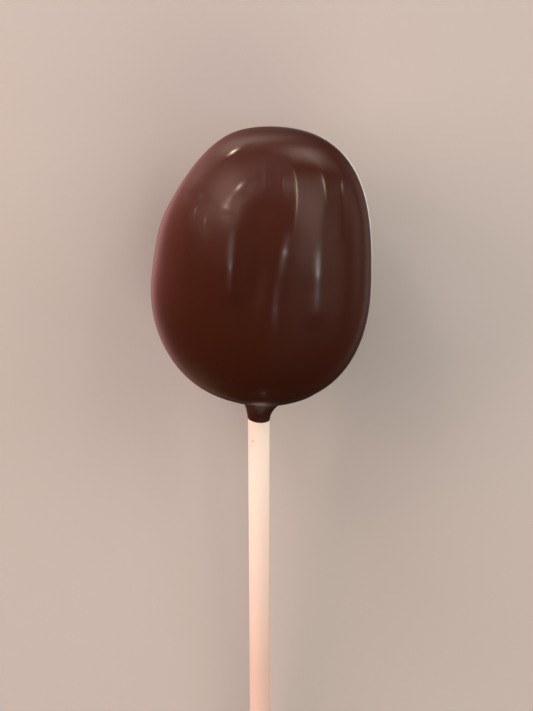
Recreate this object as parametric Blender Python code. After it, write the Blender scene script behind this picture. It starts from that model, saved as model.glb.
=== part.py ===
# A cake pop: a cake ball dipped in dark chocolate on a white paper stick, laid on its back.
# Both pieces are modelled upright, with Z along the stick towards the top of the ball, X to the right,
# -Y to the front and the origin in the middle of the ball. An empty then lays them down together.

import math

import bmesh
import bpy
import numpy as np

MM = 0.001

# The ball's plain form: a squarish egg
BALL_HALF_WIDTH = 18.05 * MM
BALL_HALF_DEPTH = 18.05 * MM
BALL_HALF_HEIGHT = 23.25 * MM
BALL_SQUARENESS = 2.62  # 2 is an ellipsoid, more gives fuller shoulders
BALL_LEAN = 0.032  # how far the ball leans to the right, for each unit of height

# Broad swells and dents of the hand-rolled ball:
# azimuth and elevation in degrees (0 is the front, + is right and up), tightness, height
BALL_SWELLS = (
    (-101, 49, 19.5, -2.9 * MM),  # brow pressed in, upper left
    (-92, -20, 6.7, 1.5 * MM),  # jowl, lower left
    (70, -46, 1.7, 1.7 * MM),  # wide flank, lower right
    (-24, 12, 9.0, 0.35 * MM),  # left lobe of the front
    (155, 20, 7.0, 0.5 * MM),  # back, right shoulder
    (-160, -30, 7.0, 0.5 * MM),  # back, lower left
    (180, 25, 8.0, -0.5 * MM),  # back, shallow dent above the flat spot
)

# Ribs and valleys that the chocolate set in as it ran, each an S from the crown to the stick:
# azimuth above and below (degrees), height and length of the bend, half width, relief, bottom and top end
CHOCOLATE_RUNS = (
    (21.5, 2, 7.0 * MM, 4.8 * MM, 2.2 * MM, 0.40 * MM, -17.0 * MM, 20.0 * MM),  # main rib
    (55, 26.5, 19.0 * MM, 5.0 * MM, 2.0 * MM, 0.32 * MM, -5.0 * MM, 19.0 * MM),  # right rib
    (70, 40, 17.0 * MM, 3.0 * MM, 1.6 * MM, 0.24 * MM, 8.0 * MM, 18.0 * MM),  # far right rib
    (-13, -17, 8.0 * MM, 2.5 * MM, 2.0 * MM, 0.24 * MM, -1.0 * MM, 12.0 * MM),  # left rib
    (-2.8, -4, 8.0 * MM, 5.0 * MM, 3.0 * MM, -0.36 * MM, -16.0 * MM, 14.5 * MM),  # valley beside the main rib
    (136, 122, 3.0 * MM, 6.0 * MM, 2.4 * MM, 0.30 * MM, -10.0 * MM, 15.0 * MM),  # back, right
    (-142, -130, 2.0 * MM, 6.0 * MM, 2.2 * MM, 0.30 * MM, -12.0 * MM, 14.0 * MM),  # back, left
)
RUN_END_LENGTH = 2.0 * MM  # length over which a run fades at its ends

# The chocolate's collar, drawn down the stick
COLLAR_LIP_RADIUS = 2.6 * MM
COLLAR_LIP_HEIGHT = -29.4 * MM
COLLAR_SLEEVE_DROP = 1.9 * MM  # the steep part against the stick
COLLAR_SLEEVE_LENGTH = 0.30 * MM
COLLAR_FLARE_DROP = 3.1 * MM  # the wider skirt above it
COLLAR_FLARE_LENGTH = 1.7 * MM
COLLAR_FLARE_SLANT = 0.45  # how much fuller the skirt is on the right
COLLAR_TRUE_RADIUS = 4.0 * MM  # inside this radius the rings are circles round the stick
COLLAR_BLEND_RADIUS = 10.0 * MM  # outside this radius they follow the ball

# The paper stick
STICK_RADIUS = 2.0 * MM
STICK_LENGTH = 150.0 * MM
STICK_TOP = 3.5 * MM  # height of its end inside the ball
STICK_SIDES = 36
STICK_EDGE = 0.2 * MM
STICK_GAP = 0.3 * MM

# How it lies: the back of the ball rests on a small flat spot, the stick on the rim of its end
REST_FLAT_DEPTH = 0.45 * MM

# Mesh density
COLUMNS = 96
CROWN_RINGS = 32
CROWN_END = math.radians(152)  # polar angle at which the collar's rings take over
COLLAR_RINGS = 14
PROFILE_SAMPLES = 400
LIP_RINGS = 5
LIE_STEPS = 30

CHOCOLATE_COLOR = (0.033, 0.009, 0.004)
PAPER_COLOR = (0.86, 0.79, 0.70)


def clear_scene():
    for obj in list(bpy.data.objects):
        bpy.data.objects.remove(obj, do_unlink=True)


def plain_material(name, color, roughness):
    material = bpy.data.materials.new(name)
    material.use_nodes = True
    shader = material.node_tree.nodes["Principled BSDF"]
    shader.inputs["Base Color"].default_value = (*color, 1.0)
    shader.inputs["Roughness"].default_value = roughness
    shader.inputs["Metallic"].default_value = 0.0
    return material


def direction(azimuth, elevation):
    """Unit vector in the upright frame, for angles in degrees."""
    az = math.radians(azimuth)
    el = math.radians(elevation)
    return np.array((math.cos(el) * math.sin(az), -math.cos(el) * math.cos(az), math.sin(el)))


def smooth_step(value):
    t = np.clip(value, 0.0, 1.0)
    return t * t * (3.0 - 2.0 * t)


def run_relief(azimuth, radius, height):
    """Height of all the chocolate runs at a place on the ball."""
    relief = np.zeros_like(azimuth)
    for above, below, bend, bend_length, half_width, tall, bottom, top in CHOCOLATE_RUNS:
        share = 1.0 / (1.0 + np.exp((bend - height) / bend_length))
        crest = np.radians(below + (above - below) * share)
        across = 2.0 * radius * np.sin((azimuth - crest) / 2.0)
        rise = smooth_step((height - bottom) / RUN_END_LENGTH / 2.0 + 0.5)
        fall = smooth_step((top - height) / RUN_END_LENGTH / 2.0 + 0.5)
        relief += tall * np.exp(-((across / half_width) ** 2)) * rise * fall
    return relief


def ball_points(polar, azimuth):
    """Points of the coated ball without its collar, for arrays of polar angle and azimuth in radians."""
    out = np.stack((np.sin(polar) * np.sin(azimuth), -np.sin(polar) * np.cos(azimuth), np.cos(polar)), -1)
    flat = np.hypot(out[..., 0] / BALL_HALF_WIDTH, out[..., 1] / BALL_HALF_DEPTH)
    tall = np.abs(out[..., 2]) / BALL_HALF_HEIGHT
    reach = (flat**BALL_SQUARENESS + tall**BALL_SQUARENESS) ** (-1.0 / BALL_SQUARENESS)
    for swell_azimuth, elevation, tightness, height in BALL_SWELLS:
        nearness = out @ direction(swell_azimuth, elevation) - 1.0
        reach = reach + height * np.exp(tightness * nearness)
    reach = reach + run_relief(azimuth, reach * np.sin(polar), reach * np.cos(polar))
    points = out * reach[..., None]
    points[..., 0] += BALL_LEAN * (points[..., 2] + BALL_HALF_HEIGHT)
    return points


def collar_drop(radius, azimuth):
    """How far the chocolate hangs below the ball's underside, at a distance from the stick's axis."""
    out = radius - COLLAR_LIP_RADIUS
    sleeve = COLLAR_SLEEVE_DROP * np.exp(-out / COLLAR_SLEEVE_LENGTH)
    slant = 1.0 + COLLAR_FLARE_SLANT * np.sin(azimuth) * smooth_step(out / COLLAR_FLARE_LENGTH)
    return sleeve + COLLAR_FLARE_DROP * np.exp(-out / COLLAR_FLARE_LENGTH) * slant


def shoulder(radius):
    """Height of the plain ball's outline at a distance from the axis, as a share of its half height."""
    return (1.0 - (radius / BALL_HALF_WIDTH) ** BALL_SQUARENESS) ** (1.0 / BALL_SQUARENESS)


def collar_radii():
    """Radii of the collar's rings, equally spaced along its profile, from the ball down to the lip."""
    edge = np.linalg.norm(ball_points(np.array(CROWN_END), np.array(0.0))[:2])
    samples = np.linspace(edge, COLLAR_LIP_RADIUS, PROFILE_SAMPLES)
    heights = -BALL_HALF_HEIGHT * shoulder(samples) - collar_drop(samples, 0.0)
    steps = np.hypot(np.diff(samples), np.diff(heights))
    travelled = np.concatenate(([0.0], np.cumsum(steps)))
    wanted = np.linspace(0.0, travelled[-1], COLLAR_RINGS + 1)[1:]
    return np.interp(wanted, travelled, samples)


def underside_ring(radius, azimuth):
    """One ring of the underside, circular near the stick and following the ball further out."""
    polar = math.pi - math.atan2(radius, BALL_HALF_HEIGHT * shoulder(radius))
    ring = ball_points(np.full_like(azimuth, polar), azimuth)
    follow = smooth_step((radius - COLLAR_TRUE_RADIUS) / (COLLAR_BLEND_RADIUS - COLLAR_TRUE_RADIUS))
    ring[:, 0] = ring[:, 0] * follow + radius * np.sin(azimuth) * (1.0 - follow)
    ring[:, 1] = ring[:, 1] * follow - radius * np.cos(azimuth) * (1.0 - follow)
    level = ring[:, 2].mean()
    ring[:, 2] = ring[:, 2] * follow + level * (1.0 - follow) - collar_drop(radius, azimuth)
    return ring


def circle(radius, height, azimuth):
    return np.stack((radius * np.sin(azimuth), -radius * np.cos(azimuth), np.full_like(azimuth, height)), -1)


def lathe(name, rings, first_pole, last_pole):
    """A closed mesh through rings of points, with a pole at each end."""
    mesh = bmesh.new()
    start = mesh.verts.new(first_pole)
    loops = [[mesh.verts.new(point) for point in ring] for ring in rings]
    end = mesh.verts.new(last_pole)
    count = len(loops[0])
    for k in range(count):
        after = (k + 1) % count
        mesh.faces.new((start, loops[0][k], loops[0][after]))
        mesh.faces.new((loops[-1][k], end, loops[-1][after]))
        for upper, lower in zip(loops, loops[1:]):
            mesh.faces.new((upper[k], lower[k], lower[after], upper[after]))
    bmesh.ops.recalc_face_normals(mesh, faces=mesh.faces)
    data = bpy.data.meshes.new(name)
    mesh.to_mesh(data)
    mesh.free()
    return data


def coated_cake_mesh():
    """The ball, its collar and the blind hole that the stick fills."""
    azimuth = np.arange(COLUMNS) * 2.0 * math.pi / COLUMNS
    polars = np.linspace(0.0, CROWN_END, CROWN_RINGS + 1)[1:]
    rings = [ball_points(np.full_like(azimuth, polar), azimuth) for polar in polars]
    rings[-1][:, 2] -= collar_drop(np.hypot(rings[-1][:, 0], rings[-1][:, 1]), azimuth)
    rings += [underside_ring(radius, azimuth) for radius in collar_radii()]

    # the lip is a half circle as wide as the wall, from the sleeve round into the hole
    hole_radius = STICK_RADIUS + STICK_GAP
    wall = COLLAR_LIP_RADIUS - hole_radius
    rings[-1][:, 2] = COLLAR_LIP_HEIGHT + wall / 2.0
    for k in range(1, LIP_RINGS):
        turn = math.pi * k / (LIP_RINGS - 1)
        radius = hole_radius + wall * (0.5 + 0.5 * math.cos(turn))
        height = COLLAR_LIP_HEIGHT + wall * (0.5 - 0.5 * math.sin(turn))
        rings.append(circle(radius, height, azimuth))
    hole_end = STICK_TOP + STICK_GAP
    rings.append(circle(hole_radius, hole_end, azimuth))
    crown = ball_points(np.zeros(1), np.zeros(1))[0]
    return lathe("coated_cake", rings, crown, (0.0, 0.0, hole_end))


def stick_mesh():
    """A straight round stick with slightly softened ends."""
    azimuth = np.arange(STICK_SIDES) * 2.0 * math.pi / STICK_SIDES
    bottom = STICK_TOP - STICK_LENGTH
    rings = [
        circle(STICK_RADIUS - STICK_EDGE, STICK_TOP, azimuth),
        circle(STICK_RADIUS, STICK_TOP - STICK_EDGE, azimuth),
        circle(STICK_RADIUS, bottom + STICK_EDGE, azimuth),
        circle(STICK_RADIUS - STICK_EDGE, bottom, azimuth),
    ]
    return lathe("stick", rings, (0.0, 0.0, STICK_TOP), (0.0, 0.0, bottom))


def mesh_points(mesh):
    flat = np.empty(len(mesh.vertices) * 3)
    mesh.vertices.foreach_get("co", flat)
    return flat.reshape(-1, 3)


def down_direction(lie_angle):
    """Straight down in the upright frame, once the pop lies with its stick's end lowered by this angle."""
    return np.array((0.0, math.cos(lie_angle), -math.sin(lie_angle)))


def find_lie_angle(ball, stick):
    """The angle at which the stick's end and the flat spot on the ball's back are level."""
    low, high = 0.0, math.radians(20)
    for _ in range(LIE_STEPS):
        angle = (low + high) / 2.0
        down = down_direction(angle)
        ball_depth = (mesh_points(ball) @ down).max() - REST_FLAT_DEPTH
        stick_depth = (mesh_points(stick) @ down).max()
        if stick_depth < ball_depth:
            low = angle
        else:
            high = angle
    return (low + high) / 2.0


def cut_flat_spot(mesh, down, depth):
    """Slices the back of the ball off along the table's plane and closes the cut with one flat face."""
    work = bmesh.new()
    work.from_mesh(mesh)
    geometry = list(work.verts) + list(work.edges) + list(work.faces)
    point = tuple(down * depth)
    bmesh.ops.bisect_plane(work, geom=geometry, plane_co=point, plane_no=tuple(down), clear_outer=True)
    rim = [edge for edge in work.edges if edge.is_boundary]
    bmesh.ops.contextual_create(work, geom=rim)
    bmesh.ops.recalc_face_normals(work, faces=work.faces)
    work.to_mesh(mesh)
    work.free()


def add_piece(name, mesh, material, parent):
    mesh.materials.append(material)
    mesh.shade_smooth()
    mesh.set_sharp_from_angle(angle=math.radians(40))
    piece = bpy.data.objects.new(name, mesh)
    piece.parent = parent
    bpy.context.scene.collection.objects.link(piece)
    return piece


def build():
    clear_scene()
    ball = coated_cake_mesh()
    stick = stick_mesh()

    lie_angle = find_lie_angle(ball, stick)
    down = down_direction(lie_angle)
    table_depth = (mesh_points(stick) @ down).max()
    cut_flat_spot(ball, down, table_depth)

    # the empty lays the pop down and centres its box over the origin, with the table at zero height
    along = np.array((0.0, math.sin(lie_angle), math.cos(lie_angle)))
    points = np.vstack((mesh_points(ball), mesh_points(stick)))
    lengthwise = points @ along
    laid = bpy.data.objects.new("laid_down", None)
    laid.rotation_euler = (lie_angle - math.pi / 2.0, 0.0, 0.0)
    laid.location = (
        -(points[:, 0].max() + points[:, 0].min()) / 2.0,
        -(lengthwise.max() + lengthwise.min()) / 2.0,
        table_depth,
    )
    bpy.context.scene.collection.objects.link(laid)

    chocolate = plain_material("dark_chocolate", CHOCOLATE_COLOR, 0.25)
    paper = plain_material("white_paper", PAPER_COLOR, 0.7)
    add_piece("coated_cake", ball, chocolate, laid)
    add_piece("stick", stick, paper, laid)


build()
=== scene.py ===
import math

import bmesh
import bpy
import numpy as np
from mathutils import Matrix, Vector


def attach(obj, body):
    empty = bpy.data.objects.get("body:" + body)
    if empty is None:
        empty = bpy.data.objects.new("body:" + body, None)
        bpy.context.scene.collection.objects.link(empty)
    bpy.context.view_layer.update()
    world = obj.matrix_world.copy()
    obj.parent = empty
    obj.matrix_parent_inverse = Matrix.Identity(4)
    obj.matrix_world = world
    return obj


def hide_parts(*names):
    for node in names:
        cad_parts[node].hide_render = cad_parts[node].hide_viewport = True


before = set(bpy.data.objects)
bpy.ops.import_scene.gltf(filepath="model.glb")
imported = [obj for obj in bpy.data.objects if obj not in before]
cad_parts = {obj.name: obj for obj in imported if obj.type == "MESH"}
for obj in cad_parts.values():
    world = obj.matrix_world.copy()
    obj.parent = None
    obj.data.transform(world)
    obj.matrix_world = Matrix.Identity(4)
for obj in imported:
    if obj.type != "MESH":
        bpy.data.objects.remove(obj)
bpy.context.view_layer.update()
mm = 0.001


# A socket that can be reckoned with, so that a formula in a node tree reads as one.
class Field:
    def __init__(self, socket):
        self.socket = socket
        self.tree = socket.id_data

    def __add__(self, other):
        return reckon(self.tree, "ADD", self, other)

    def __sub__(self, other):
        return reckon(self.tree, "SUBTRACT", self, other)

    def __rsub__(self, other):
        return reckon(self.tree, "SUBTRACT", other, self)

    def __mul__(self, other):
        return reckon(self.tree, "MULTIPLY", self, other)

    def __truediv__(self, other):
        return reckon(self.tree, "DIVIDE", self, other)

    def __rtruediv__(self, other):
        return reckon(self.tree, "DIVIDE", other, self)

    def __pow__(self, other):
        return reckon(self.tree, "POWER", self, other)

    __radd__ = __add__
    __rmul__ = __mul__


def plug(value, socket):
    if isinstance(value, Field):
        value.tree.links.new(value.socket, socket)
    else:
        socket.default_value = value


def reckon(tree, operation, *values):
    node = tree.nodes.new("ShaderNodeMath")
    node.operation = operation
    for value, socket in zip(values, node.inputs):
        plug(value, socket)
    return Field(node.outputs[0])


def combineVectors(tree, operation, first, second):
    node = tree.nodes.new("ShaderNodeVectorMath")
    node.operation = operation
    plug(first, node.inputs[0])
    plug(second, node.inputs[1])
    return Field(node.outputs["Value" if operation == "DOT_PRODUCT" else "Vector"])


def sine(value):
    return reckon(value.tree, "SINE", value)


def cosine(value):
    return reckon(value.tree, "COSINE", value)


def growth(value):  # e to the power value
    return reckon(value.tree, "EXPONENT", value)


def clampUnit(value):
    return reckon(value.tree, "MINIMUM", reckon(value.tree, "MAXIMUM", value, 0.0), 1.0)


def smoothStep(value):
    share = clampUnit(value)
    return share * share * (3.0 - 2.0 * share)


def choose(test, whenTrue, whenFalse):  # test is 0 or 1, or anything between
    return whenFalse + test * (whenTrue - whenFalse)


def splitVector(vector):
    node = vector.tree.nodes.new("ShaderNodeSeparateXYZ")
    plug(vector, node.inputs[0])
    return [Field(output) for output in node.outputs]


def joinVector(tree, x, y, z):
    node = tree.nodes.new("ShaderNodeCombineXYZ")
    for value, socket in zip((x, y, z), node.inputs):
        plug(value, socket)
    return Field(node.outputs[0])


def newTree(name, kind, inputs, outputs):
    tree = bpy.data.node_groups.new(name, kind)
    for label, socketType in inputs.items():
        tree.interface.new_socket(label, in_out="INPUT", socket_type=socketType)
    for label, socketType in outputs.items():
        tree.interface.new_socket(label, in_out="OUTPUT", socket_type=socketType)
    entry = tree.nodes.new("NodeGroupInput")
    done = tree.nodes.new("NodeGroupOutput")
    given = {label: Field(entry.outputs[label]) for label in inputs}
    return tree, given, done


def useGroup(tree, group, kind, values):
    node = tree.nodes.new(kind)
    node.node_tree = group
    for label, value in values.items():
        plug(value, node.inputs[label])
    return node


# The coated cake ball is modelled upright: z along the stick towards the crown, x to the right,
# -y to the front, and the origin in the middle of the ball.

cakeBall = {
    "halfWidth": 18.03 * mm,
    "halfDepth": 17.92 * mm,
    "halfHeight": 23.24 * mm,
    "squareness": 2.62,  # 2 is an ellipsoid, more gives fuller shoulders
    "lean": 0.032,  # to the right, for each unit of height
    # azimuth and elevation in degrees (0 is the front, + is right and up), tightness, height
    "swells": (
        (-101, 49, 19.5, -2.9 * mm),  # brow pressed in, upper left
        (-92, -20, 6.7, 1.5 * mm),  # jowl, lower left
        (70, -46, 1.7, 1.7 * mm),  # wide flank, lower right
        (-24, 12, 9.0, 0.35 * mm),  # left lobe of the front
        (155, 20, 7.0, 0.5 * mm),  # back, right shoulder
        (-160, -30, 7.0, 0.5 * mm),  # back, lower left
        (180, 25, 8.0, -0.5 * mm),  # back, shallow dent above the flat spot
    ),
    # azimuth above and below, height and length of the bend, half width left and right of the crest,
    # relief, bottom and top end
    "runs": (
        (21.5, 2, 7.0 * mm, 4.8 * mm, 2.7 * mm, 4.0 * mm, 0.30 * mm, -17.0 * mm, 20.0 * mm),  # main rib
        (21.5, 2, 7.0 * mm, 4.8 * mm, 0.6 * mm, 0.6 * mm, 0.05 * mm, 11.5 * mm, 20.0 * mm),  # its crest
        (55, 26.0, 19.0 * mm, 6.2 * mm, 2.3 * mm, 2.4 * mm, 0.25 * mm, -5.0 * mm, 19.0 * mm),  # right rib
        (55, 26.0, 19.0 * mm, 6.2 * mm, 0.7 * mm, 0.7 * mm, 0.05 * mm, 12.5 * mm, 19.0 * mm),  # its crest
        (70, 40, 17.0 * mm, 3.0 * mm, 2.1 * mm, 1.8 * mm, 0.18 * mm, 8.0 * mm, 18.0 * mm),  # far right rib
        (70, 40, 17.0 * mm, 3.0 * mm, 0.7 * mm, 0.7 * mm, 0.04 * mm, 13.0 * mm, 18.0 * mm),  # its crest
        (-13, -17, 8.0 * mm, 2.5 * mm, 2.4 * mm, 1.8 * mm, 0.17 * mm, -1.0 * mm, 12.0 * mm),  # left rib
        (-2.8, -4, 8.0 * mm, 5.0 * mm, 3.1 * mm, 3.0 * mm, -0.28 * mm, -16.0 * mm, 14.5 * mm),  # valley
        (0.5, 0.5, 0.0 * mm, 5.0 * mm, 0.5 * mm, 0.5 * mm, 0.06 * mm, 16.5 * mm, 20.5 * mm),  # faint ribs
        (10.4, 9.6, 16.5 * mm, 1.0 * mm, 0.52 * mm, 0.52 * mm, 0.055 * mm, 14.0 * mm, 19.0 * mm),
        (136, 122, 3.0 * mm, 6.0 * mm, 2.4 * mm, 2.4 * mm, 0.30 * mm, -10.0 * mm, 15.0 * mm),  # back, right
        (-142, -130, 2.0 * mm, 6.0 * mm, 2.2 * mm, 2.2 * mm, 0.30 * mm, -12.0 * mm, 14.0 * mm),  # back, left
    ),
    "runEnd": 2.0 * mm,
    # azimuth, height, tilt from upright (deg, + leans right), half length, half width, relief
    "strokes": (
        (-30.7, 20.8 * mm, 16, 2.8 * mm, 1.3 * mm, 0.17 * mm),  # two slanting ridges on the left brow
        (-16.4, 16.6 * mm, 36, 2.3 * mm, 1.0 * mm, 0.13 * mm),
        (-43.0, 14.3 * mm, 97, 3.8 * mm, 0.9 * mm, -0.09 * mm),  # fold above the left lobe
        (-21.0, 13.4 * mm, 98, 1.8 * mm, 0.8 * mm, 0.05 * mm),
        (-41.0, 12.7 * mm, 0, 1.1 * mm, 0.56 * mm, 0.05 * mm),  # two small bumps below it
        (-33.1, 11.2 * mm, 0, 0.9 * mm, 0.58 * mm, 0.055 * mm),
        (-16.2, 4.6 * mm, 4, 1.5 * mm, 2.4 * mm, 0.05 * mm),  # low bumps on the ribs
        (10.7, 6.9 * mm, 18, 1.3 * mm, 2.4 * mm, 0.05 * mm),
        (27.5, 2.8 * mm, 0, 1.5 * mm, 2.4 * mm, 0.05 * mm),
        (6.0, -2.0 * mm, 8, 1.5 * mm, 2.2 * mm, 0.03 * mm),
        (-14.5, -15.4 * mm, -27, 1.4 * mm, 0.54 * mm, 0.10 * mm),  # small ridge near the underside
        (0.0, -20.6 * mm, 90, 9.0 * mm, 1.5 * mm, 0.36 * mm),  # brim above the collar
        (-6.0, -21.3 * mm, 84, 3.4 * mm, 0.45 * mm, 0.05 * mm),  # and the waves on it
        (9.0, -20.7 * mm, 96, 3.0 * mm, 0.45 * mm, 0.05 * mm),
    ),
    "strokeReach": 8.0 * mm,  # how deep a stroke acts, so that it stays on its own side
    "crownEnd": math.radians(152),  # polar angle where the collar's stations take over
    "lipRadius": 2.07 * mm,
    "sleeveDrop": 0.80 * mm,  # the thin film against the stick
    "sleeveLength": 0.13 * mm,
    "flareDrop": 4.22 * mm,  # the skirt above it
    "flareLength": 1.68 * mm,
    "flareSlant": 0.45,  # how much wider the skirt is on the right
    "flareFront": 0.15,  # and in front
    "frontFocus": 5.0,  # how narrowly that extra width keeps to the front
    "lipSlant": 0.055,  # how much further it reaches down on its longer side
    "lipTurn": 25,  # that side, in degrees from the right towards the front
    # creases round the stick, where the coating sagged: distance from the axis, half width, depth
    "creases": ((2.75 * mm, 0.20 * mm, 0.03 * mm), (3.7 * mm, 0.28 * mm, 0.04 * mm)),
    "creaseWaves": 3.0,  # each crease sways this often on its way round
    "creaseSway": 0.4,  # by this share of its half width
    "trueRadius": 4.0 * mm,  # inside this radius the rings are circles round the stick
    "blendRadius": 10.0 * mm,  # outside it they follow the ball
    "holeRadius": 2.02 * mm,
    "holeEnd": 3.55 * mm,
    "columns": 400,  # vertices round the stick's axis
    "stations": 220,  # and from pole to pole
    "crownShare": 0.60,  # of the stations, from the crown down to the collar
    "collarShare": 0.30,
    "lipShare": 0.04,
    "collarCrowding": 2.6,  # packs the collar's stations together towards the lip
    "wallShare": 0.9,  # of the hole's stations, on its wall
}


def outward(azimuth, elevation):
    turn, rise = math.radians(azimuth), math.radians(elevation)
    level = math.cos(rise)
    return np.array((level * math.sin(turn), -level * math.cos(turn), math.sin(rise)))


def makeSwellGroup():
    tree, given, done = newTree("broadSwell", "GeometryNodeTree", {
        "Out X": "NodeSocketFloat", "Out Y": "NodeSocketFloat", "Out Z": "NodeSocketFloat",
        "Azimuth": "NodeSocketFloat", "Elevation": "NodeSocketFloat",
        "Tightness": "NodeSocketFloat", "Height": "NodeSocketFloat",
    }, {"Rise": "NodeSocketFloat"})
    azimuth = given["Azimuth"] * math.radians(1)
    elevation = given["Elevation"] * math.radians(1)
    level = cosine(elevation)
    nearness = given["Out X"] * level * sine(azimuth) - given["Out Y"] * level * cosine(azimuth)
    nearness = nearness + given["Out Z"] * sine(elevation)
    rise = given["Height"] * growth(given["Tightness"] * (nearness - 1.0))
    plug(rise, done.inputs["Rise"])
    return tree


def makeRunGroup():
    tree, given, done = newTree("softRun", "GeometryNodeTree", {
        "Azimuth": "NodeSocketFloat", "Radius": "NodeSocketFloat", "Height": "NodeSocketFloat",
        "Azimuth Above": "NodeSocketFloat", "Azimuth Below": "NodeSocketFloat",
        "Bend": "NodeSocketFloat", "Bend Length": "NodeSocketFloat",
        "Half Width Left": "NodeSocketFloat", "Half Width Right": "NodeSocketFloat",
        "Relief": "NodeSocketFloat",
        "Bottom": "NodeSocketFloat", "Top": "NodeSocketFloat", "End Length": "NodeSocketFloat",
    }, {"Rise": "NodeSocketFloat"})
    share = 1.0 / (1.0 + growth((given["Bend"] - given["Height"]) / given["Bend Length"]))
    crest = given["Azimuth Below"] + (given["Azimuth Above"] - given["Azimuth Below"]) * share
    turn = given["Azimuth"] - crest * math.radians(1)
    across = 2.0 * given["Radius"] * sine(turn / 2.0)
    onRight = reckon(tree, "GREATER_THAN", across, 0.0)
    across = across / choose(onRight, given["Half Width Right"], given["Half Width Left"])
    start = smoothStep((given["Height"] - given["Bottom"]) / given["End Length"] / 2.0 + 0.5)
    stop = smoothStep((given["Top"] - given["Height"]) / given["End Length"] / 2.0 + 0.5)
    rise = given["Relief"] * growth(0.0 - across * across) * start * stop
    plug(rise, done.inputs["Rise"])
    return tree


def makeStrokeGroup():
    tree, given, done = newTree("softStroke", "GeometryNodeTree", {
        "Place": "NodeSocketVector", "Center": "NodeSocketVector", "Along": "NodeSocketVector",
        "Across": "NodeSocketVector", "Out": "NodeSocketVector", "Relief": "NodeSocketFloat",
    }, {"Rise": "NodeSocketFloat"})
    away = combineVectors(tree, "SUBTRACT", given["Place"], given["Center"])
    along = combineVectors(tree, "DOT_PRODUCT", away, given["Along"])
    across = combineVectors(tree, "DOT_PRODUCT", away, given["Across"])
    out = combineVectors(tree, "DOT_PRODUCT", away, given["Out"])
    rise = given["Relief"] * growth(0.0 - along * along - across * across - out * out)
    plug(rise, done.inputs["Rise"])
    return tree


ballInputs = {  # label of each size on the tree, and where it stands in cakeBall
    "Half Width": "halfWidth", "Half Depth": "halfDepth", "Half Height": "halfHeight",
    "Squareness": "squareness", "Lean": "lean", "Crown End": "crownEnd",
    "Lip Radius": "lipRadius", "Lip Slant": "lipSlant",
    "Sleeve Drop": "sleeveDrop", "Sleeve Length": "sleeveLength",
    "Flare Drop": "flareDrop", "Flare Length": "flareLength", "Flare Slant": "flareSlant",
    "Flare Front": "flareFront", "Lip Turn": "lipTurn",
    "True Radius": "trueRadius", "Blend Radius": "blendRadius",
    "Hole Radius": "holeRadius", "Hole End": "holeEnd", "Run End": "runEnd",
}


def addSwells(tree, ball, reach, outX, outY, outZ):
    swellGroup = makeSwellGroup()
    for azimuth, elevation, tightness, height in ball["swells"]:
        swell = useGroup(tree, swellGroup, "GeometryNodeGroup", {
            "Out X": outX, "Out Y": outY, "Out Z": outZ, "Azimuth": azimuth,
            "Elevation": elevation, "Tightness": tightness, "Height": height,
        })
        reach = reach + Field(swell.outputs["Rise"])
    return reach


def addRuns(tree, ball, reach, polar, azimuth, endLength):
    radius, height = reach * sine(polar), reach * cosine(polar)
    runGroup = makeRunGroup()
    for above, below, bend, bendLength, leftWidth, rightWidth, relief, bottom, top in ball["runs"]:
        run = useGroup(tree, runGroup, "GeometryNodeGroup", {
            "Azimuth": azimuth, "Radius": radius, "Height": height,
            "Azimuth Above": above, "Azimuth Below": below, "Bend": bend, "Bend Length": bendLength,
            "Half Width Left": leftWidth, "Half Width Right": rightWidth, "Relief": relief,
            "Bottom": bottom, "Top": top, "End Length": endLength,
        })
        reach = reach + Field(run.outputs["Rise"])
    return reach


def addStrokes(tree, ball, reach, outX, outY, outZ):
    strokeGroup = makeStrokeGroup()
    place = joinVector(tree, reach * outX, reach * outY, reach * outZ)
    for azimuth, height, tilt, halfLength, halfWidth, relief in ball["strokes"]:
        center = surfacePoint(ball, azimuth, height)
        out = Vector(center).normalized()
        right = Vector((math.cos(math.radians(azimuth)), math.sin(math.radians(azimuth)), 0))
        up = out.cross(right)
        lean = math.radians(tilt)
        stroke = useGroup(tree, strokeGroup, "GeometryNodeGroup", {
            "Place": place, "Center": center,
            "Along": (up * math.cos(lean) + right * math.sin(lean)) / halfLength,
            "Across": (right * math.cos(lean) - up * math.sin(lean)) / halfWidth,
            "Out": out / ball["strokeReach"], "Relief": relief,
        })
        reach = reach + Field(stroke.outputs["Rise"])
    return reach


def collarDrop(tree, ball, size, azimuth, radius):  # how far the chocolate is drawn down the stick
    beyond = radius - size["Lip Radius"]
    inFront = reckon(tree, "MAXIMUM", cosine(azimuth), 0.0) ** ball["frontFocus"]
    spread = size["Flare Slant"] * sine(azimuth) + size["Flare Front"] * inFront + 1.0
    drip = sine(azimuth + size["Lip Turn"] * math.radians(1))
    skirtDrop = size["Flare Drop"] * (size["Lip Slant"] * drip + 1.0)
    drop = skirtDrop * growth(0.0 - beyond / (size["Flare Length"] * spread))
    drop = drop + size["Sleeve Drop"] * growth(0.0 - beyond / size["Sleeve Length"])
    for middle, halfWidth, depth in ball["creases"]:
        sway = sine(azimuth * ball["creaseWaves"]) * halfWidth * ball["creaseSway"]
        away = (radius - middle + sway) / halfWidth
        drop = drop - growth(0.0 - away * away) * depth
    return drop, skirtDrop


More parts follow.
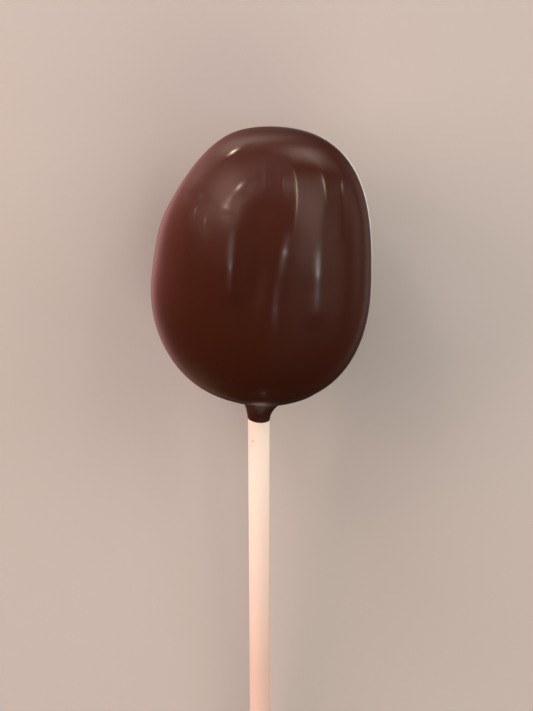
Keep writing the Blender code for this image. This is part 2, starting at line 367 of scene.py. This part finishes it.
def layAndPaint(tree, geometry, layDown, material):
    nodes, links = tree.nodes, tree.links
    laid = nodes.new("GeometryNodeTransform")
    links.new(geometry, laid.inputs["Geometry"])
    laid.inputs["Translation"].default_value = layDown.to_translation()
    laid.inputs["Rotation"].default_value = layDown.to_euler()
    rested = nodes.new("GeometryNodeSetPosition")  # its weight presses the back flat on the table
    links.new(laid.outputs["Geometry"], rested.inputs["Geometry"])
    x, y, z = splitVector(Field(nodes.new("GeometryNodeInputPosition").outputs[0]))
    plug(joinVector(tree, x, y, reckon(tree, "MAXIMUM", z, 0.0)), rested.inputs["Position"])
    smooth = nodes.new("GeometryNodeSetShadeSmooth")
    links.new(rested.outputs["Geometry"], smooth.inputs["Geometry"])
    realized = nodes.new("GeometryNodeRealizeInstances")
    links.new(smooth.outputs["Geometry"], realized.inputs["Geometry"])
    painted = nodes.new("GeometryNodeSetMaterial")
    links.new(realized.outputs["Geometry"], painted.inputs["Geometry"])
    painted.inputs["Material"].default_value = material
    return painted.outputs["Geometry"]


def makeBallTree(ball, layDown, material):
    labels = {"Columns": "NodeSocketInt", "Stations": "NodeSocketInt"}
    labels.update({label: "NodeSocketFloat" for label in ballInputs})
    tree, size, done = newTree("coatedCake", "GeometryNodeTree", labels, {"Geometry": "NodeSocketGeometry"})
    sphere = tree.nodes.new("GeometryNodeMeshUVSphere")
    plug(size["Columns"], sphere.inputs["Segments"])
    plug(size["Stations"], sphere.inputs["Rings"])
    sphere.inputs["Radius"].default_value = 1.0

    # every vertex of the sphere keeps its azimuth, and its share of the way from pole to pole
    # becomes its station: over the crown, down the collar, round the lip and up the stick's hole
    x, y, z = splitVector(Field(tree.nodes.new("GeometryNodeInputPosition").outputs[0]))
    azimuth = reckon(tree, "ARCTAN2", x, 0.0 - y)
    flatLength = reckon(tree, "SQRT", x * x + y * y)
    station = reckon(tree, "ARCTAN2", flatLength, z) / math.pi
    crownEnd = ball["crownShare"]
    collarEnd = crownEnd + ball["collarShare"]
    lipEnd = collarEnd + ball["lipShare"]
    nudge = 1e-5  # keeps a vertex that stands right on a boundary on its near side
    onCrown = reckon(tree, "LESS_THAN", station, crownEnd + nudge)
    beforeLip = reckon(tree, "LESS_THAN", station, collarEnd + nudge)
    beforeHole = reckon(tree, "LESS_THAN", station, lipEnd + nudge)
    beforePole = reckon(tree, "LESS_THAN", station, 1.0 - 10.0 * nudge)

    # distance from the stick's axis along the collar
    along = clampUnit((station - crownEnd) / ball["collarShare"])
    edge = ballRadiusAt(ball, ball["crownEnd"])
    radius = size["Lip Radius"] + (edge - size["Lip Radius"]) * (1.0 - along) ** ball["collarCrowding"]
    shoulder = (1.0 - (radius / size["Half Width"]) ** size["Squareness"]) ** (1.0 / size["Squareness"])
    underHeight = size["Half Height"] * shoulder
    underPolar = math.pi - reckon(tree, "ARCTAN2", radius, underHeight)
    polar = choose(onCrown, station / crownEnd * size["Crown End"], underPolar)

    # the ball with its swells, ribs and ridges
    outX = sine(polar) * sine(azimuth)
    outY = 0.0 - sine(polar) * cosine(azimuth)
    outZ = cosine(polar)
    wide = reckon(tree, "SQRT", (outX / size["Half Width"]) ** 2.0 + (outY / size["Half Depth"]) ** 2.0)
    tall = reckon(tree, "ABSOLUTE", outZ) / size["Half Height"]
    reach = (wide ** size["Squareness"] + tall ** size["Squareness"]) ** (-1.0 / size["Squareness"])
    reach = addSwells(tree, ball, reach, outX, outY, outZ)
    reach = addRuns(tree, ball, reach, polar, azimuth, size["Run End"])
    reach = addStrokes(tree, ball, reach, outX, outY, outZ)
    ballZ = reach * outZ
    ballX = reach * outX + size["Lean"] * (ballZ + size["Half Height"])
    ballY = reach * outY

    # near the stick the rings turn into level circles round it, and the collar hangs from them
    follow = smoothStep((radius - size["True Radius"]) / (size["Blend Radius"] - size["True Radius"]))
    follow = choose(onCrown, 1.0, follow)
    level = 0.0 - underHeight - swellAt(ball, (0, 0, -1))
    drop, skirtDrop = collarDrop(tree, ball, size, azimuth, radius)
    ringX = choose(follow, ballX, radius * sine(azimuth))
    ringY = choose(follow, ballY, 0.0 - radius * cosine(azimuth))
    ringZ = choose(follow, ballZ, level) - choose(onCrown, 0.0, drop)

    # the rounded lip and the hole that the stick fills
    wall = size["Lip Radius"] - size["Hole Radius"]
    lipTurn = clampUnit((station - collarEnd) / ball["lipShare"]) * math.pi
    lipOut = size["Hole Radius"] + wall * (cosine(lipTurn) * 0.5 + 0.5)
    lipTop = poleHeight(ball) - skirtDrop - size["Sleeve Drop"]
    lipZ = lipTop - wall * sine(lipTurn) * 0.5
    upHole = clampUnit((station - lipEnd) / ((1.0 - lipEnd) * ball["wallShare"]))
    holeZ = lipZ + (size["Hole End"] - lipZ) * upHole
    insideOut = choose(beforePole, choose(beforeHole, lipOut, size["Hole Radius"]), 0.0)
    insideZ = choose(beforeHole, lipZ, holeZ)
    newX = choose(beforeLip, ringX, insideOut * sine(azimuth))
    newY = choose(beforeLip, ringY, 0.0 - insideOut * cosine(azimuth))
    newZ = choose(beforeLip, ringZ, insideZ)

    shaped = tree.nodes.new("GeometryNodeSetPosition")
    tree.links.new(sphere.outputs["Mesh"], shaped.inputs["Geometry"])
    plug(joinVector(tree, newX, newY, newZ), shaped.inputs["Position"])
    painted = layAndPaint(tree, shaped.outputs["Geometry"], layDown, material)
    tree.links.new(painted, done.inputs["Geometry"])
    return tree


def ballRadiusAt(ball, polar):  # distance of the plain ball's surface from the axis
    wide = math.sin(polar) / ball["halfWidth"]
    tall = abs(math.cos(polar)) / ball["halfHeight"]
    reach = (wide ** ball["squareness"] + tall ** ball["squareness"]) ** (-1.0 / ball["squareness"])
    return reach * math.sin(polar)


def poleHeight(ball):  # the underside where the stick leaves it, before the collar
    share = (ball["lipRadius"] / ball["halfWidth"]) ** ball["squareness"]
    return -ball["halfHeight"] * (1.0 - share) ** (1.0 / ball["squareness"]) - swellAt(ball, (0, 0, -1))


def surfacePoint(ball, azimuth, height):  # on the ball with its swells, before the ribs
    low, high = -89.9, 89.9  # elevation in degrees, just short of the poles
    halvings = 50
    for _ in range(halvings):
        elevation = (low + high) / 2.0
        out = outward(azimuth, elevation)
        wide = math.hypot(out[0] / ball["halfWidth"], out[1] / ball["halfDepth"])
        tall = abs(out[2]) / ball["halfHeight"]
        reach = (wide ** ball["squareness"] + tall ** ball["squareness"]) ** (-1.0 / ball["squareness"])
        point = out * (reach + swellAt(ball, out))
        low, high = (elevation, high) if point[2] < height else (low, elevation)
    return point


def swellAt(ball, out):  # all swells together in one direction
    return sum(height * math.exp(tightness * (float(np.dot(out, outward(azimuth, elevation))) - 1.0))
               for azimuth, elevation, tightness, height in ball["swells"])


def meshFromTree(name, tree, values):
    holder = bpy.data.objects.new(name, bpy.data.meshes.new(name + "Start"))
    bpy.context.scene.collection.objects.link(holder)
    modifier = holder.modifiers.new(name, "NODES")
    modifier.node_group = tree
    for item in tree.interface.items_tree:
        if item.item_type == "SOCKET" and item.in_out == "INPUT":
            modifier[item.identifier] = values[item.name]
    evaluated = holder.evaluated_get(bpy.context.evaluated_depsgraph_get())
    mesh = bpy.data.meshes.new_from_object(evaluated)
    holder.modifiers.remove(modifier)
    holder.data = mesh
    mesh.name = name
    return holder


def makeCakeBall(ball, layDown, material):
    tree = makeBallTree(ball, layDown, material)
    values = {label: ball[key] for label, key in ballInputs.items()}
    values.update({"Columns": ball["columns"], "Stations": ball["stations"]})
    piece = meshFromTree("cakeBall", tree, values)
    print("coated ball:", len(piece.data.vertices), "vertices")
    return piece


paperStick = {
    "radius": 2.0 * mm,
    "length": 150.0 * mm,
    "top": 3.5 * mm,  # height of its end inside the ball
    "edge": 0.12 * mm,  # chamfer at both ends
    "layer": 0.33 * mm,  # from one turn of the paper to the next
    "groove": 0.05 * mm,  # depth between the turns
    "core": 0.28 * mm,  # radius of the hole down its middle
    "coreDepth": 1.2 * mm,
    "seamStep": 0.03 * mm,  # the paper's loose edge, along the whole stick
    "seamAzimuth": 150,  # degrees
    "coreTaper": 0.9,  # the hole's floor, as a share of its radius
    "grooveWidth": 0.14,  # as a share of a layer
    "sharpAngle": math.radians(50),
    "columns": 120,
    "lengthRings": 40,
    "endRings": 34,
}


def makePaperStick(stick, layDown, material):
    turns = np.arange(stick["columns"]) / stick["columns"]
    azimuth = math.radians(stick["seamAzimuth"]) + turns * 2.0 * math.pi
    outline = stick["radius"] - stick["seamStep"] * (1.0 - turns)

    def ring(radius, height):
        return np.stack((radius * np.sin(azimuth), -radius * np.cos(azimuth), height), -1)

    def endRings(level, outSign):  # the rolled layers show as a spiral groove
        rings = []
        for radius in np.linspace(stick["core"], stick["radius"] - stick["edge"], stick["endRings"]):
            phase = (radius / stick["layer"] - turns) % 1.0
            away = np.minimum(phase, 1.0 - phase) / stick["grooveWidth"]
            groove = stick["groove"] * np.exp(-(away ** 2))
            rings.append(ring(outline * radius / stick["radius"], level - outSign * groove))
        return rings

    top, bottom = stick["top"], stick["top"] - stick["length"]
    level = np.zeros(stick["columns"])
    coreFloor = np.full(stick["columns"], stick["core"] * stick["coreTaper"])
    lengthwise = np.linspace(top - stick["edge"], bottom + stick["edge"], stick["lengthRings"])
    rings = [ring(coreFloor, level + top - stick["coreDepth"])]
    rings += endRings(top, 1)
    rings += [ring(outline, level + height) for height in lengthwise]
    rings += endRings(bottom, -1)[::-1]
    rings += [ring(coreFloor, level + bottom + stick["coreDepth"])]

    work = bmesh.new()
    loops = [[work.verts.new(point) for point in points] for points in rings]
    first = work.verts.new((0, 0, top - stick["coreDepth"]))
    last = work.verts.new((0, 0, bottom + stick["coreDepth"]))
    for column in range(stick["columns"]):
        after = (column + 1) % stick["columns"]
        work.faces.new((first, loops[0][column], loops[0][after]))
        work.faces.new((loops[-1][column], last, loops[-1][after]))
        for upper, lower in zip(loops, loops[1:]):
            work.faces.new((upper[column], lower[column], lower[after], upper[after]))
    bmesh.ops.recalc_face_normals(work, faces=work.faces)
    work.transform(layDown)
    mesh = bpy.data.meshes.new("paperStick")
    work.to_mesh(mesh)
    work.free()
    mesh.shade_smooth()
    mesh.set_sharp_from_angle(angle=stick["sharpAngle"])
    mesh.materials.append(material)
    piece = bpy.data.objects.new("paperStick", mesh)
    bpy.context.scene.collection.objects.link(piece)
    print("paper stick:", len(mesh.vertices), "vertices")
    return piece


def findLayDown(stick):  # how the pop lies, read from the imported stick
    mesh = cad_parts["stick"].data
    points = np.empty(len(mesh.vertices) * 3)
    mesh.vertices.foreach_get("co", points)
    points = np.unique(points.reshape(-1, 3).round(6), axis=0)
    middle = points.mean(axis=0)
    axis = np.linalg.svd(points - middle)[2][0]
    axis = axis * np.sign(axis[1])
    origin = middle + axis * (stick["length"] / 2.0 - stick["top"])
    back = Vector((0.0, axis[2], -axis[1]))
    turn = Matrix((Vector((1, 0, 0)), back, Vector(axis))).transposed()
    return Matrix.Translation(Vector(origin)) @ turn.to_4x4()


chocolate = {
    "color": (0.028, 0.0064, 0.0029, 1),
    "palerColor": (0.034, 0.0080, 0.0036, 1),
    "cloudScale": 90.0,
    "cloudDetail": 2.0,
    "grainScale": 900.0,
    "grainDetail": 3.0,
    "roughness": 0.18,
    "grainRoughness": 0.08,  # added where the grain is strongest
    "grainHeight": 0.006 * mm,
    "coat": 0.25,
    "coatRoughness": 0.08,
    "dullness": 0.24,  # added to the roughness where the coating set round the stick
    "dullFrom": -19.5 * mm,
    "dullTo": -22.0 * mm,
}

paper = {
    "color": (0.81, 0.73, 0.65, 1),
    "shadeColor": (0.77, 0.68, 0.60, 1),
    "grainShare": 0.5,  # how much of the shade comes from the grain, and how much from the clouds
    "cloudShare": 0.4,
    "grainScale": 1500.0,
    "grainDetail": 4.0,
    "grainStretch": 0.12,  # the fibres run along the stick
    "grainHeight": 0.02 * mm,
    "grainStrength": 0.6,
    "cloudScale": 160.0,
    "cloudDetail": 2.0,
    "roughness": 0.62,
    # painted shade and painted reflection: the paper is painted darker and pinker towards its free end, for
    # light falling off along the stick and a hand's skin colour reflected on it
    "paintedShadeColor": (0.57, 0.42, 0.36, 1),
    "paintedShadeFrom": -32.0 * mm,  # height where the painted shade starts on the paper, and where it is full
    "paintedShadeTo": -84.0 * mm,
    "speckColor": (0.62, 0.36, 0.27, 1),
    # x and height on the front, radius
    "specks": ((-1.08 * mm, -33.3 * mm, 0.24 * mm), (-1.45 * mm, -34.35 * mm, 0.12 * mm)),
}


def newMaterial(name):
    material = bpy.data.materials.new(name)
    material.use_nodes = True
    return material, material.node_tree, material.node_tree.nodes["Principled BSDF"]


def mixColors(tree, share, first, second):  # by index, as the node has an A and a B for each data type
    node = tree.nodes.new("ShaderNodeMix")
    node.data_type = "RGBA"
    plug(share, node.inputs[0])
    plug(first, node.inputs[6])
    plug(second, node.inputs[7])
    return Field(node.outputs[2])


def makeUnevennessGroup():
    tree, given, done = newTree("unevenness", "ShaderNodeTree", {
        "Vector": "NodeSocketVector", "Scale": "NodeSocketFloat", "Detail": "NodeSocketFloat",
    }, {"Value": "NodeSocketFloat"})
    noise = tree.nodes.new("ShaderNodeTexNoise")
    plug(given["Vector"], noise.inputs["Vector"])
    plug(given["Scale"], noise.inputs["Scale"])
    plug(given["Detail"], noise.inputs["Detail"])
    tree.links.new(noise.outputs["Fac"], done.inputs["Value"])
    return tree


def uprightPlace(tree, place, layDown):  # turns a pattern to stand with the stick
    node = tree.nodes.new("ShaderNodeMapping")
    node.vector_type = "TEXTURE"
    node.inputs["Location"].default_value = layDown.to_translation()
    node.inputs["Rotation"].default_value = layDown.to_euler()
    plug(place, node.inputs["Vector"])
    return Field(node.outputs["Vector"])


def noiseValue(tree, uneven, place, finish, kind):  # kind is cloud or grain
    noise = useGroup(tree, uneven, "ShaderNodeGroup", {
        "Vector": place, "Scale": finish[kind + "Scale"], "Detail": finish[kind + "Detail"],
    })
    return Field(noise.outputs["Value"])


def addBump(tree, shader, grain, height, strength):
    bump = tree.nodes.new("ShaderNodeBump")
    bump.inputs["Strength"].default_value = strength
    bump.inputs["Distance"].default_value = height
    plug(grain, bump.inputs["Height"])
    tree.links.new(bump.outputs["Normal"], shader.inputs["Normal"])


def makeChocolate(finish, layDown, uneven):
    material, tree, shader = newMaterial("darkChocolate")
    place = Field(tree.nodes.new("ShaderNodeTexCoord").outputs["Object"])
    cloud = noiseValue(tree, uneven, place, finish, "cloud")
    grain = noiseValue(tree, uneven, place, finish, "grain")
    plug(mixColors(tree, cloud, finish["color"], finish["palerColor"]), shader.inputs["Base Color"])
    height = splitVector(uprightPlace(tree, place, layDown))[2]
    dull = smoothStep((height - finish["dullFrom"]) / (finish["dullTo"] - finish["dullFrom"]))
    roughness = grain * finish["grainRoughness"] + finish["roughness"] + dull * finish["dullness"]
    plug(roughness, shader.inputs["Roughness"])
    plug((1.0 - dull) * finish["coat"], shader.inputs["Coat Weight"])
    shader.inputs["Coat Roughness"].default_value = finish["coatRoughness"]
    addBump(tree, shader, grain, finish["grainHeight"], 1.0)
    return material


def makePaper(finish, layDown, uneven):
    material, tree, shader = newMaterial("whitePaper")
    upright = uprightPlace(tree, Field(tree.nodes.new("ShaderNodeTexCoord").outputs["Object"]), layDown)
    stretched = tree.nodes.new("ShaderNodeMapping")
    stretched.inputs["Scale"].default_value = (1.0, 1.0, finish["grainStretch"])
    plug(upright, stretched.inputs["Vector"])
    grain = noiseValue(tree, uneven, Field(stretched.outputs["Vector"]), finish, "grain")
    cloud = noiseValue(tree, uneven, upright, finish, "cloud")
    shade = grain * finish["grainShare"] + cloud * finish["cloudShare"]
    color = mixColors(tree, shade, finish["color"], finish["shadeColor"])
    x, y, z = splitVector(upright)
    # painted shade and painted reflection: darker and pinker towards the free end
    paintedShade = clampUnit((z - finish["paintedShadeFrom"]) / (finish["paintedShadeTo"] - finish["paintedShadeFrom"]))
    color = mixColors(tree, paintedShade, color, finish["paintedShadeColor"])
    onFront = reckon(tree, "LESS_THAN", y, 0.0)
    for speckX, speckZ, speckRadius in finish["specks"]:
        away = ((x - speckX) ** 2.0 + (z - speckZ) ** 2.0) / speckRadius ** 2
        color = mixColors(tree, growth(0.0 - away) * onFront, color, finish["speckColor"])
    plug(color, shader.inputs["Base Color"])
    shader.inputs["Roughness"].default_value = finish["roughness"]
    addBump(tree, shader, grain, finish["grainHeight"], finish["grainStrength"])
    return material


view = {
    "lens": 55.0,
    "sensor": 36.0,
    "pitch": math.radians(20.8),  # below square-on to the stick
    "aside": 1.42 * mm,  # to the right of the stick's axis
    "distance": 182.7 * mm,  # from the stick's axis, level
    "lookHeight": -17.08 * mm,  # where the view's middle meets the axis
    "nearest": 10.0 * mm,
}

studioFloor = {
    "size": 40.0,
    "below": 0.05 * mm,  # a little under the pop, so that the two share no plane
    "color": (0.36, 0.345, 0.335, 1),
    "roughness": 0.7,
}

# Directions are as the camera sees them: right, up, towards it.
# Soft panels of the surroundings: direction, half width and height (of the unit sphere), color
surroundings = {
    "ambient": (0.02, 0.015, 0.013),
    "panels": (
        ((-0.62, 0.50, 0.60), 0.40, 0.40, (1.90, 1.25, 1.15)),  # upper left
        ((-0.75, 0.60, -0.30), 0.35, 0.30, (1.00, 0.55, 0.50)),  # left, above the horizon
        ((-0.20, 0.85, -0.45), 0.30, 0.22, (0.75, 0.62, 0.55)),  # top, behind
        ((0.00, 0.90, 0.40), 0.30, 0.35, (0.20, 0.25, 0.28)),  # top
        ((0.00, 0.45, 0.89), 0.40, 0.30, (0.02, 0.06, 0.15)),  # cool sheen in front
        ((0.72, 0.48, 0.50), 0.32, 0.28, (0.22, 0.24, 0.23)),  # sheen, upper right
        ((-0.92, 0.15, -0.30), 0.38, 0.35, (0.35, 0.10, 0.08)),  # warm, far left
        ((0.39, 0.88, -0.16), 0.17, 0.27, (1.50, 1.20, 1.10)),  # top right
        ((0.75, 0.08, 0.65), 0.26, 0.45, (1.15, 0.88, 0.78)),  # right
        ((0.97, -0.10, 0.15), 0.22, 0.35, (0.40, 0.32, 0.29)),  # right edge
        ((0.90, 0.15, -0.40), 0.18, 0.35, (0.30, 0.21, 0.19)),  # far right
        ((-0.46, -0.41, 0.79), 0.07, 0.07, (4.2, 4.3, 4.4)),  # window, left pane
        ((-0.53, -0.20, 0.82), 0.10, 0.16, (1.1, 1.15, 1.15)),  # haze above it
        ((0.24, -0.32, 0.92), 0.09, 0.08, (5.6, 5.7, 5.8)),  # middle pane
        ((0.11, -0.62, 0.77), 0.08, 0.06, (1.4, 1.4, 1.4)),  # its reflection in the sill
        ((0.81, -0.345, 0.47), 0.08, 0.055, (8.5, 8.5, 8.5)),  # right pane
        ((-0.50, 0.20, -0.86), 0.32, 0.50, (0.85, 0.38, 0.37)),  # behind, left
        ((0.62, 0.12, -0.77), 0.16, 0.40, (0.25, 0.16, 0.14)),  # behind, right
        ((0.16, 0.18, -0.97), 0.13, 0.15, (2.40, 2.35, 2.10)),  # straight behind, right
        ((-0.50, -0.62, -0.60), 0.26, 0.20, (0.12, 0.10, 0.03)),  # behind, lower left
        ((-0.35, 0.92, -0.19), 0.08, 0.08, (24.0, 20.0, 15.0)),  # small warm bulbs
        ((-0.43, 0.52, 0.74), 0.08, 0.09, (19.0, 15.6, 11.6)),
        ((0.20, 0.56, 0.80), 0.03, 0.12, (3.0, 2.4, 1.9)),
        ((0.46, 0.42, 0.78), 0.04, 0.28, (15.0, 12.5, 9.6)),
        ((0.84, 0.50, 0.23), 0.04, 0.14, (12.0, 10.0, 8.0)),
        ((0.88, 0.41, -0.24), 0.03, 0.06, (7.0, 6.0, 5.0)),
        ((-0.66, 0.26, 0.70), 0.09, 0.05, (9.0, 7.4, 5.6)),
        ((-0.40, 0.22, 0.89), 0.12, 0.035, (1.7, 1.4, 1.1)),
        ((-0.96, 0.25, 0.11), 0.04, 0.06, (7.0, 5.6, 4.4)),
        ((-0.92, 0.11, 0.37), 0.04, 0.06, (7.0, 5.6, 4.4)),
    ),
}

# direction, distance, size, power, color
lamps = {
    "key": ((-0.40, 0.86, 0.31), 0.9, 0.6, 15.0, (1.0, 0.90, 0.84)),
    "fill": ((-0.05, -0.15, 0.98), 0.42, 0.5, 0.24, (1.0, 0.91, 0.84)),
    "left": ((-0.90, 0.12, 0.43), 0.42, 0.3, 1.80, (1.0, 0.70, 0.62)),
    "right": ((0.80, 0.35, 0.48), 0.42, 0.3, 1.02, (1.0, 0.92, 0.87)),
    "below": ((0.30, -0.80, 0.52), 0.42, 0.3, 0.74, (1.0, 0.86, 0.72)),
}


def makeCamera(view, layDown):
    camera = bpy.data.objects.new("camera", bpy.data.cameras.new("camera"))
    camera.data.lens = view["lens"]
    camera.data.sensor_width = view["sensor"]
    camera.data.clip_start = view["nearest"]
    tilt, level = math.sin(view["pitch"]), math.cos(view["pitch"])
    turn = Matrix(((1, 0, 0), (0, tilt, -level), (0, level, tilt)))
    rise = view["distance"] * math.tan(view["pitch"])
    spot = Vector((view["aside"], -view["distance"], view["lookHeight"] + rise))
    camera.matrix_world = layDown @ Matrix.Translation(spot) @ turn.to_4x4()
    bpy.context.scene.collection.objects.link(camera)
    bpy.context.scene.camera = camera
    return camera


def makeFloor(studioFloor):
    bpy.ops.mesh.primitive_plane_add(size=studioFloor["size"], location=(0, 0, -studioFloor["below"]))
    floor = bpy.context.active_object
    floor.name = "floor"
    material, _, shader = newMaterial("paleFloor")
    shader.inputs["Base Color"].default_value = studioFloor["color"]
    shader.inputs["Roughness"].default_value = studioFloor["roughness"]
    floor.data.materials.append(material)
    floor.visible_glossy = False  # the gloss shows the surroundings alone


def makeLamps(lamps, camera, middle):
    turn = camera.matrix_world.to_3x3()
    for name, (direction, distance, size, power, color) in lamps.items():
        light = bpy.data.lights.new(name, "AREA")
        light.size = size
        light.energy = power
        light.color = color
        lamp = bpy.data.objects.new(name, light)
        lamp.visible_glossy = False
        out = (turn @ Vector(direction)).normalized()
        facing = out.to_track_quat("Z", "Y").to_matrix().to_4x4()
        lamp.matrix_world = Matrix.Translation(middle + out * distance) @ facing
        bpy.context.scene.collection.objects.link(lamp)


def makePanelGroup():
    tree, given, done = newTree("softPanel", "ShaderNodeTree", {
        "Vector": "NodeSocketVector", "Toward": "NodeSocketVector", "Side": "NodeSocketVector",
        "Rise": "NodeSocketVector", "Color": "NodeSocketColor",
    }, {"Color": "NodeSocketColor"})
    across = combineVectors(tree, "DOT_PRODUCT", given["Vector"], given["Side"])
    along = combineVectors(tree, "DOT_PRODUCT", given["Vector"], given["Rise"])
    ahead = combineVectors(tree, "DOT_PRODUCT", given["Vector"], given["Toward"])
    onThisSide = smoothStep(ahead * 2.0)  # fades it out sideways, so that no second one shows opposite
    share = growth(0.0 - across * across - along * along) * onThisSide
    node = tree.nodes.new("ShaderNodeVectorMath")
    node.operation = "SCALE"
    plug(given["Color"], node.inputs[0])
    plug(share, node.inputs["Scale"])
    tree.links.new(node.outputs["Vector"], done.inputs["Color"])
    return tree


def makeWorld(surroundings, camera):
    world = bpy.data.worlds.new("studio")
    bpy.context.scene.world = world
    world.use_nodes = True
    tree = world.node_tree
    place = Field(tree.nodes.new("ShaderNodeTexCoord").outputs["Generated"])
    turn = camera.matrix_world.to_3x3()
    panelGroup = makePanelGroup()
    total = surroundings["ambient"]
    for direction, halfWidth, halfHeight, color in surroundings["panels"]:
        out = (turn @ Vector(direction)).normalized()
        side = (turn @ Vector((0, 1, 0))).cross(out).normalized()
        panel = useGroup(tree, panelGroup, "ShaderNodeGroup", {
            "Vector": place, "Toward": out, "Side": side / halfWidth,
            "Rise": out.cross(side) / halfHeight, "Color": (*color, 1),
        })
        total = combineVectors(tree, "ADD", Field(panel.outputs["Color"]), total)
    plug(total, tree.nodes["Background"].inputs["Color"])


layDown = findLayDown(paperStick)
uneven = makeUnevennessGroup()
ball = makeCakeBall(cakeBall, layDown, makeChocolate(chocolate, layDown, uneven))
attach(ball, "root")
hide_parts("coated_cake")
stick = makePaperStick(paperStick, layDown, makePaper(paper, layDown, uneven))
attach(stick, "root")
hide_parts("stick")

camera = makeCamera(view, layDown)
makeFloor(studioFloor)
makeLamps(lamps, camera, layDown.to_translation())
makeWorld(surroundings, camera)
bpy.context.scene.view_settings.view_transform = "Standard"
print("studio ready")
